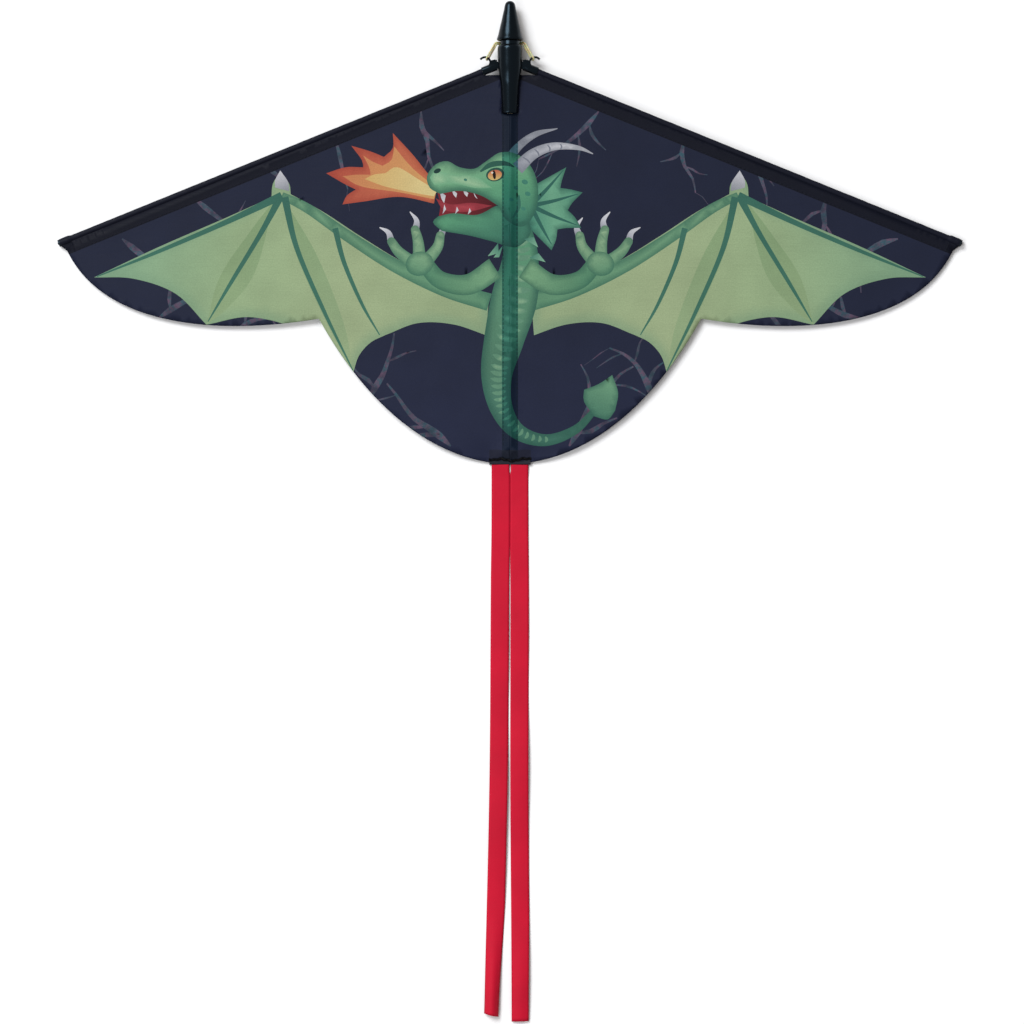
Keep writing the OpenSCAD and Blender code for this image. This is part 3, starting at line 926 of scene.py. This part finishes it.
def build_sail(side):
    flip = np.array([side, 1.0])
    shapes = [poly * flip for poly, _, _ in LAYERS]
    pts, tris = triangulate(shapes)
    centre = pts[tris].mean(axis=1)
    layer = np.full(len(tris), -1)
    for k, poly in enumerate(shapes):
        layer[inside(poly, centre)] = k
    real = pts * flip
    z = sail_height(real[:, 0] + side * 1e-6, real[:, 1])
    order = tris if side < 0 else tris[:, ::-1]
    obj = new_object(f"sail_{HAND[side]}_cloth", place(real[:, 0], real[:, 1], z), order)
    print_and_shade_sail(obj, real[order], real[order].mean(axis=1), layer)
    store_weave(obj, np.column_stack([real, np.zeros(len(real))]))
    bend_between(obj, share(real[:, 0], real[:, 1]))
    thicken(obj, CLOTH, material_offset=1, material_offset_rim=1)
    paint(obj, SAIL, SAIL_BACK)
    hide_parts(f"sail_{HAND[side]}")
    a, b, c = real[tris[:, 0]], real[tris[:, 1]], real[tris[:, 2]]
    area = np.abs(np.cross(b - a, c - a)).sum() / 2 * MM * MM
    return obj, area


def weave_attribute(obj):
    """The weave of a piece that lies in the plane of the sail."""
    x, y, z = points_of(obj).T
    store_weave(obj, np.column_stack([x / MM, (NOSE_Y - y) / MM, z / MM]))


def build_sleeve(side):
    """The rolled cloth sleeve that holds a leading edge spar, closed over the spar's tip cap."""
    path, radii = [], []
    rng = random.Random(3 + side)
    cap_from, cap_more = CAP_MID - 6, 0.6
    plain = np.arange(14.64, SPAR_END - 12, 3.0)
    for s in (*plain, *np.linspace(SPAR_END - 11, SPAR_END + 0.6, 14)):
        world = PIVOT + SPAR * (s * MM)
        path.append((world.x * side, world.y, world.z))
        r = 2.05 + 0.06 * rng.uniform(-1, 1)
        r += cap_more * float(smoothstep((s - cap_from) / 3))
        r *= sqrt(max(0.02, min(1.0, (SPAR_END + 0.7 - s) / 2.2)))
        radii.append((2.15 if s < 14.8 else r) * MM)
    obj = new_object(f"edge_sleeve_{HAND[side]}_cloth", *tube(path, radii, 20), angle=50)
    weave_attribute(obj)
    return finish(obj, EDGE, [f"{HAND[side]}_edge_sleeve"], f"{HAND[side]}_wing")


def build_stitches(side):
    """A row of stitches along the inner edge of the band, with a bar of them near the tip."""
    parts = []
    s = 17.0
    while s < SPAR_END - 12:
        ends = [edge_point(s + 2.1 * k / 4, EDGE_BAND - 0.9) for k in range(5)]
        parts.append(stitch([(u * side, d) for u, d in ends], 0.12, 0.16, 0.17))
        s += 3.0
    n = 2.4
    while n < 9.0:
        ends = []
        for k in range(5):
            across = 0.9 * k / 4 if int(n * 2) % 2 else 0.9 - 0.9 * k / 4
            u, d = edge_point(SPAR_END - 8.6 + across, n + 0.35 * k / 4)
            ends.append((u * side, d))
        parts.append(stitch(ends, 0.12, 0.14, 0.16))
        n += 0.42
    obj = new_object(f"edge_stitches_{HAND[side]}", *joined(parts))
    x, y, _ = points_of(obj).T
    bend_between(obj, share(x / MM, (NOSE_Y - y) / MM))
    return finish(obj, NAVY_THREAD, body=None)


SAILS, AREAS, EDGES = {}, {}, {1: [], -1: []}
for side in (1, -1):
    SAILS[side], AREAS[side] = build_sail(side)
for build in (build_sleeve, build_stitches):
    for side in (1, -1):
        EDGES[side].append(build(side))


# -------- spine pocket, patch and stitching
SEAM_D = 309.3          # the tape's stitching
FOLD_D = 311.5          # where the tape turns under the sail


def tape_wave(u):
    return sin(u * 0.42 + 0.9), sin(u * 1.3)


def build_pocket():
    """The strip sewn behind the sail: it leaves it at its sewn edges and passes under the rod."""
    rows = np.arange(BARREL_REAR_D + 1.2, 304.5, 3.0)
    cols = np.linspace(-POCKET_HALF, POCKET_HALF, 25)
    verts = []
    for d in rows:
        for u in cols:
            deep = cos(pi * u / (2 * POCKET_HALF)) ** 2
            verts.append(place(u, d, spine_z(d) + 1.0 - 3.85 * deep + 0.05 * sin(d / 7.0) * deep))
    obj = new_object("spine_pocket_cloth", verts, grid_faces(len(rows), len(cols)))
    weave_attribute(obj)
    thicken(obj, 0.0002)
    return finish(obj, POCKET, ["spine_pocket"])


def build_pocket_seams():
    parts = []
    for side in (-1, 1):
        u = side * (POCKET_HALF - 0.7)
        d = BARREL_REAR_D + 4
        while d < 300:
            parts.append(stitch([(u, d + 2.0 * k / 4) for k in range(5)], 0.1, 0.14, 0.14))
            d += 2.9
    return finish(new_object("spine_seam_stitches", *joined(parts)), NAVY_THREAD)


def build_patch():
    """The tape folded round the bottom of the sail, which holds the tails and closes the pocket."""
    front = 4
    rows = [("front", d) for d in np.linspace(309.4, FOLD_D, front)]
    rows += [("fold", a) for a in np.linspace(70, -70, 7)]
    rows += [("back", d) for d in np.linspace(311.0, PATCH_TOP, 7)]
    cols = np.linspace(-PATCH_HALF, PATCH_HALF, 57)
    verts = []
    for i, (part, value) in enumerate(rows):
        for u in cols:
            broad, narrow = tape_wave(u)
            over = sail_z(u + 1e-6, FOLD_D if part == "fold" else min(FOLD_D, value))
            if part == "front":
                d, z = value + (0.5 * broad + 0.2 * narrow) * (1 - i / front), over + 0.3
            elif part == "fold":
                c, s = turned(value)
                d, z = FOLD_D + 0.1 + 0.8 * c, over - 0.5 + 0.85 * s
            else:
                d, z = value, max(min(over - 1.25, 0.55 + 0.03 * (311.0 - value)), 0.3)
            verts.append(place(u, d, z))
    obj = new_object("tail_patch_cloth", verts, grid_faces(len(rows), len(cols)))
    weave_attribute(obj)
    thicken(obj, 0.0003)
    return finish(obj, PATCH, ["tail_patch"])


def build_bar_tack():
    """A dense wavy zigzag of black thread through the tape and the tails."""
    line = []
    turns, half = 150, PATCH_HALF + 0.2
    for k in range(turns):
        u = -half + 2 * half * k / (turns - 1)
        broad, narrow = tape_wave(u)
        d = SEAM_D + (0.7 if k % 2 else -0.7) + 0.7 * broad + 0.3 * narrow
        d -= 1.1 * (abs(u) / half) ** 4
        line.append(place(u, d, sail_z(u + 1e-6, d) + 0.62))
    obj = new_object("tail_bar_tack", *tube(line, 0.36 * MM, 6))
    return finish(obj, BLACK_THREAD, ["tail_stitching"])


pocket = build_pocket()
seams = build_pocket_seams()
patch = build_patch()
bar_tack = build_bar_tack()


# -------- the tail streamers
RIBBON_WIDTH = 12.55


def build_streamer(side):
    """A ribbon that leaves the seam over the tape, drops to the floor and turns at its end."""
    left = side < 0
    end_d = (NOSE_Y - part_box(f"{HAND[side]}_streamer")[0].y) / MM
    start_d = TAIL_HINGE_D - 3.5
    rows, cols = int((end_d - start_d) / 2.6), 9
    verts, weave = [], []
    rng = random.Random(21)
    phase = [rng.uniform(0, 6.28) for _ in range(4)]
    for i in range(rows + 1):
        t = i / rows
        d = start_d + (end_d - start_d) * t
        away = float(smoothstep((t - 0.1) / 0.5))
        sway = 0.3 * side * (sin(t * 7 + phase[0]) + 0.4) * away
        drift = (-4.6 if left else 0.5) * t ** 2 + sway
        slit = 0.62 * (1 - smoothstep((d - TAIL_HINGE_D - 5) / 3))
        inner = side * (0.3 * smoothstep((t - 0.12) / 0.1) - 0.1)
        turn = (1.0 if left else 0.3) * smoothstep((t - 0.78) / 0.22)
        # the ribbon curls a little, so it looks narrower away from the seam
        curl = smoothstep((t - 0.02) / 0.2) * (0.55 + 0.45 * sin(t * 5.1 + phase[1]))
        drop = (1 - smoothstep((d - TAIL_HINGE_D + 2.5) / 14)) * 1.05
        waves = 0.9 * away * (1 + sin(t * 17 + phase[2] + 0.8 * side * away))
        cut_end = (2.3 if left else 0.4) * smoothstep((t - 0.985) / 0.015)
        for k in range(cols):
            f = k / (cols - 1)
            across = side * RIBBON_WIDTH * f
            bow = sin(pi * f)
            z = (0.52 if left else 0.34) + drop + 0.4 * curl * bow + waves
            z += 0.2 * sin(t * 31 + phase[3] + f) * smoothstep(t / 0.1) + 3.3 * turn * bow
            u = inner + across * (1 - 0.02 * curl - 0.22 * turn) + drift
            u += min(side, 0) * 2.6 * turn + side * slit * (1 - f) ** 2
            verts.append(place(u, d - cut_end * f, max(z, 0.2)))
            weave.append((across, d, 0))
    faces = grid_faces(rows + 1, cols)
    if not left:
        faces = [f[::-1] for f in faces]
    obj = new_object(f"streamer_{HAND[side]}_cloth", verts, faces)
    store_weave(obj, weave)
    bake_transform(obj)
    thicken(obj, 0.0002)
    finish(obj, RIBBON, [f"{HAND[side]}_streamer"], None)


build_streamer(1)
build_streamer(-1)


# -------- nose cone and barrel
FOLD = radians(JOINTS["right_wing_fold"]["range_deg"][1])
NOSE_LEN = (NOSE_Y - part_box("nose_cone")[0].y) / MM
BARREL_FRONT = NOSE_LEN + 2.7
SPIGOT_FRONT = 13.0     # how deep in the nose cone the barrel's spigot ends
NECK_R, NECK_TOP_R, SPIGOT_R = 5.5, 6.7, 4.0
SOCKET_SWEEP, SLEEVE_SWEEP = 3.15, 2.4
FAR = 20                # past the barrel, above and below


def smooth_profile(points):
    return [(max(float(r), 0.0), float(d)) for r, d in smooth(points, 0.7)]


def cut(obj, cutter, operation="DIFFERENCE"):
    mod = obj.modifiers.new("cut", "BOOLEAN")
    mod.operation = operation
    mod.solver = "EXACT"
    mod.object = cutter


def soften(obj, width, angle):
    mod = obj.modifiers.new("soft_edges", "BEVEL")
    mod.width = width * MM
    mod.segments = 3
    mod.limit_method = "ANGLE"
    mod.angle_limit = radians(angle)


def build_nose():
    tip = [(0.0, 0.0), (1.2, 0.2), (2.4, 0.9), (3.2, 2.0), (3.7, 3.8), (4.1, 6.0), (4.9, 9.4),
           (5.6, 12.7), (6.4, 16.0), (7.2, 19.4), (7.9, 22.6), (8.5, 24.5), (8.88, 25.6)]
    rim = [(8.88, 25.6), (8.8, 26.3), (8.2, 26.8), (7.3, 27.0)]
    hole = [(SPIGOT_R + 0.05, NOSE_LEN), (SPIGOT_R + 0.05, SPIGOT_FRONT), (0.0, SPIGOT_FRONT)]
    profile = smooth_profile(tip) + smooth_profile(rim)[1:] + hole
    obj = new_object("nose_cone_rubber", *lathe(profile, 96), angle=42)
    finish(obj, RUBBER, ["nose_cone"])


def swept(w, long):
    """The ground a wing covers between its open and folded places, w wide on each side."""
    s, c = sin(SWEEP), cos(SWEEP)
    fs, fc = sin(SWEEP + FOLD), cos(SWEEP + FOLD)
    return [(-w * fs, -w * fc), (long * fc - w * fs, -long * fs - w * fc), (12, -long),
            (12 * c + w * s, -12 * s + w * c), (w * s, w * c)]


def circle(r, n):
    return [(r * cos(a), r * sin(a)) for a in np.linspace(0, 2 * pi, n, endpoint=False)]


def barrel_cutters():
    """What the arms, the sleeved spars, the pins and the spine rod take out of the barrel."""
    cutters = []
    hollows = ((circle(3.6, 48), -3.35, 3.0), (swept(SOCKET_SWEEP, 16.1), -3.35, 3.0),
               (swept(SLEEVE_SWEEP, 38), -3.0, 2.4), (circle(1.25, 32), -7.1, 4.25))
    for side in (-1, 1):
        for k, (outline, low, high) in enumerate(hollows):
            pts = [(side * (PIVOT.x + x * MM), PIVOT.y + y * MM) for x, y in outline][::side]
            block = prism(pts, PIVOT.z + low * MM, PIVOT.z + high * MM)
            cutters.append(new_object(f"cutter_{side}_{k}", *block))
    start = Vector((0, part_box("spine_rod")[1].y + 0.1 * MM, 0))
    start.z = spine_z((NOSE_Y - start.y) / MM) * MM
    stop = Vector((0, NOSE_Y - 90 * MM, spine_z(90.0) * MM))
    bore = tube([tuple(start), tuple((start + stop) / 2), tuple(stop)], 2.55 * MM, 48)
    return cutters + [new_object("cutter_bore", *bore)]


def build_barrel():
    front = BARREL_FRONT
    side = [(7.9, front + 0.8), (8.4, front + 2.4), (8.4, front + 8), (8.4, front + 14),
            (8.2, front + 18), (7.7, front + 22), (7.0, front + 26.5), (6.55, front + 32),
            (6.1, front + 39), (5.65, 75.4)]
    profile = [(0.0, SPIGOT_FRONT), (SPIGOT_R, SPIGOT_FRONT), (SPIGOT_R, NOSE_LEN + 0.1),
               (NECK_R, NOSE_LEN + 0.1), (NECK_R, front), (7.1, front), (7.55, front + 0.3)]
    profile += smooth_profile(side) + [(5.45, 75.85), (5.1, 76.0), (0.0, 76.0)]
    # the upper half of the neck is filled out; the elastic passes under the lower half
    collar = [(NECK_TOP_R if r == NECK_R else r, d) for r, d in profile]
    cutters = barrel_cutters()
    slab = [(-0.1, 0.1), (0.1, 0.1), (0.1, 0.5), (-0.1, 0.5)]
    ground = new_object("cutter_ground", *prism(slab, -0.02, 0.0))
    for name, outline, low, high in (("barrel_top", collar, 0.012, FAR),
                                     ("barrel_bottom", profile, -FAR, -0.012)):
        shell = new_object(name + "_shell", *lathe(outline, 128))
        for cutter in cutters:
            cut(shell, cutter)
        half = new_object("cutter_" + name, *prism(slab, PIVOT.z + low * MM, PIVOT.z + high * MM))
        cut(shell, half, "INTERSECT")
        if low < 0:
            cut(shell, ground)
        settle(shell)
        bpy.data.objects.remove(half)
        soften(shell, 0.2, 38)
        settle(shell)
        shell.data.shade_smooth()
        shell.data.set_sharp_from_angle(angle=radians(32))
        finish(shell, PLASTIC, [name])
    for c in (*cutters, ground):
        bpy.data.objects.remove(c)


build_nose()
build_barrel()


# -------- elastic bands
HOOK_LO, HOOK_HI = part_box("right_band_loop")
HOOK = (HOOK_LO + HOOK_HI) / 2
ELASTIC_R, HOOK_LOOP_R, ROUND_NECK_R = 0.6, 1.5, NECK_R + 0.67


def build_elastic(side, spread):
    """One elastic loop runs from hook to hook under the neck; this is one side of it."""
    start = Vector((9.3 * MM, NOSE_Y - 28.3 * MM, PIVOT.z))
    v = HOOK - start
    reach = v.length
    v.normalize()
    n = Vector((v.y, -v.x, 0))
    points = []

    def lead(u, d, below):
        points.append(Vector((u * MM, NOSE_Y - d * MM, PIVOT.z - below * MM)))

    def neck(d, angles):
        for c, s in map(turned, angles):
            lead(ROUND_NECK_R * c, d, -ROUND_NECK_R * s)

    def strand(shares, way, rise):
        for t in shares:
            points.append(start + v * reach * t + n * way * spread * MM
                          + Vector((0, 0, (-0.9 + rise * t) * MM)))

    neck(27.74, np.linspace(-89, -38, 12))
    lead(7.0, 27.76, 2.6)
    lead(8.6, 27.82, 1.6)
    strand((0.06, 0.3, 0.6, 0.86), -1, 2.3)
    for c, s in map(turned, np.linspace(0, 180, 9)):
        points.append(HOOK + v * HOOK_LOOP_R * MM * s - n * spread * MM * c
                      + Vector((0, 0, HOOK_LOOP_R * MM * c)))
    strand((0.86, 0.6, 0.3, 0.06), 1, -0.7)
    lead(7.9, 28.9, 2.0)
    lead(6.6, 28.95, 2.9)
    neck(28.95, np.linspace(-38, -89, 12))
    line = smooth([tuple(p / MM) for p in points], 0.5) * MM
    line[:, 0] *= side
    obj = new_object(f"elastic_{HAND[side]}", *tube(line, ELASTIC_R * MM, 14))
    co = points_of(obj)
    co[:, 0] *= side
    weights = ((co - np.array(start)) @ np.array(v)) / (reach - 1.2 * MM)
    bend_between(obj, weights)
    finish(obj, ELASTIC, [f"{HAND[side]}_band", f"{HAND[side]}_band_loop"], None)


build_elastic(1, 0.64)
build_elastic(-1, 0.58)

# -------- plain frame parts
FINISH = {"black_plastic": PLASTIC, "nose_rubber": RUBBER, "cap_vinyl": VINYL, "glass_rod": ROD,
          "pin_steel": STEEL, "elastic": ELASTIC}
SLOTS = {p["node"]: p["material_slot"] for p in frame["record"]["subparts"]}
for node, obj in frame["nodes"].items():
    if SLOTS[node] in FINISH:
        paint(obj, FINISH[SLOTS[node]])
for node in ("left_arm", "right_arm"):
    obj = frame["nodes"][node]
    normals = obj.data.attributes.get("custom_normal")
    if normals:
        obj.data.attributes.remove(normals)
    weld = obj.modifiers.new("weld", "WELD")
    weld.merge_threshold = 0.000005
    soften(obj, 0.22, 35)

# -------- stage, light and camera
floor_mat, _, floor_shader = nodes_of("studio_floor")
fill(floor_shader, {"Base Color": (0.79, 0.79, 0.79, 1), "Roughness": 0.7,
                    "Specular IOR Level": 0.1})
FLOOR = 10
floor = new_object("studio_floor", [(-FLOOR, -FLOOR, 0), (FLOOR, -FLOOR, 0), (FLOOR, FLOOR, 0),
                                    (-FLOOR, FLOOR, 0)], [(0, 1, 2, 3)])
paint(floor, floor_mat)

world = bpy.data.worlds.new("studio")
bpy.context.scene.world = world
world.use_nodes = True
fill(world.node_tree.nodes["Background"], {"Color": (1.0, 0.965, 0.955, 1), "Strength": 0.47})


def soft_box(name, where, size, power, colour):
    """A rectangular light aimed at the middle of the kite."""
    data = bpy.data.lights.new(name, "AREA")
    data.shape = "RECTANGLE"
    data.size, data.size_y = size
    data.energy = power
    data.color = colour
    obj = linked(name, data)
    obj.location = where
    obj.rotation_euler = (-Vector(where)).to_track_quat("-Z", "Y").to_euler()


soft_box("key_light", (-3.0, 3.6, 5.2), (3.3, 3.3), 500.0, (0.97, 0.985, 1.0))
soft_box("side_light", (-3.8, -1.6, 5.4), (1.2, 4.8), 140.0, (0.93, 0.96, 1.0))

camera_data = bpy.data.cameras.new("camera")
camera_data.lens = 120
camera_data.sensor_width = 36
camera = linked("camera", camera_data)
camera.location = (0.00135, 0.0, 2.309)
camera.rotation_euler = (0, 0, 0)
bpy.context.scene.camera = camera
bpy.context.scene.view_settings.view_transform = "Standard"
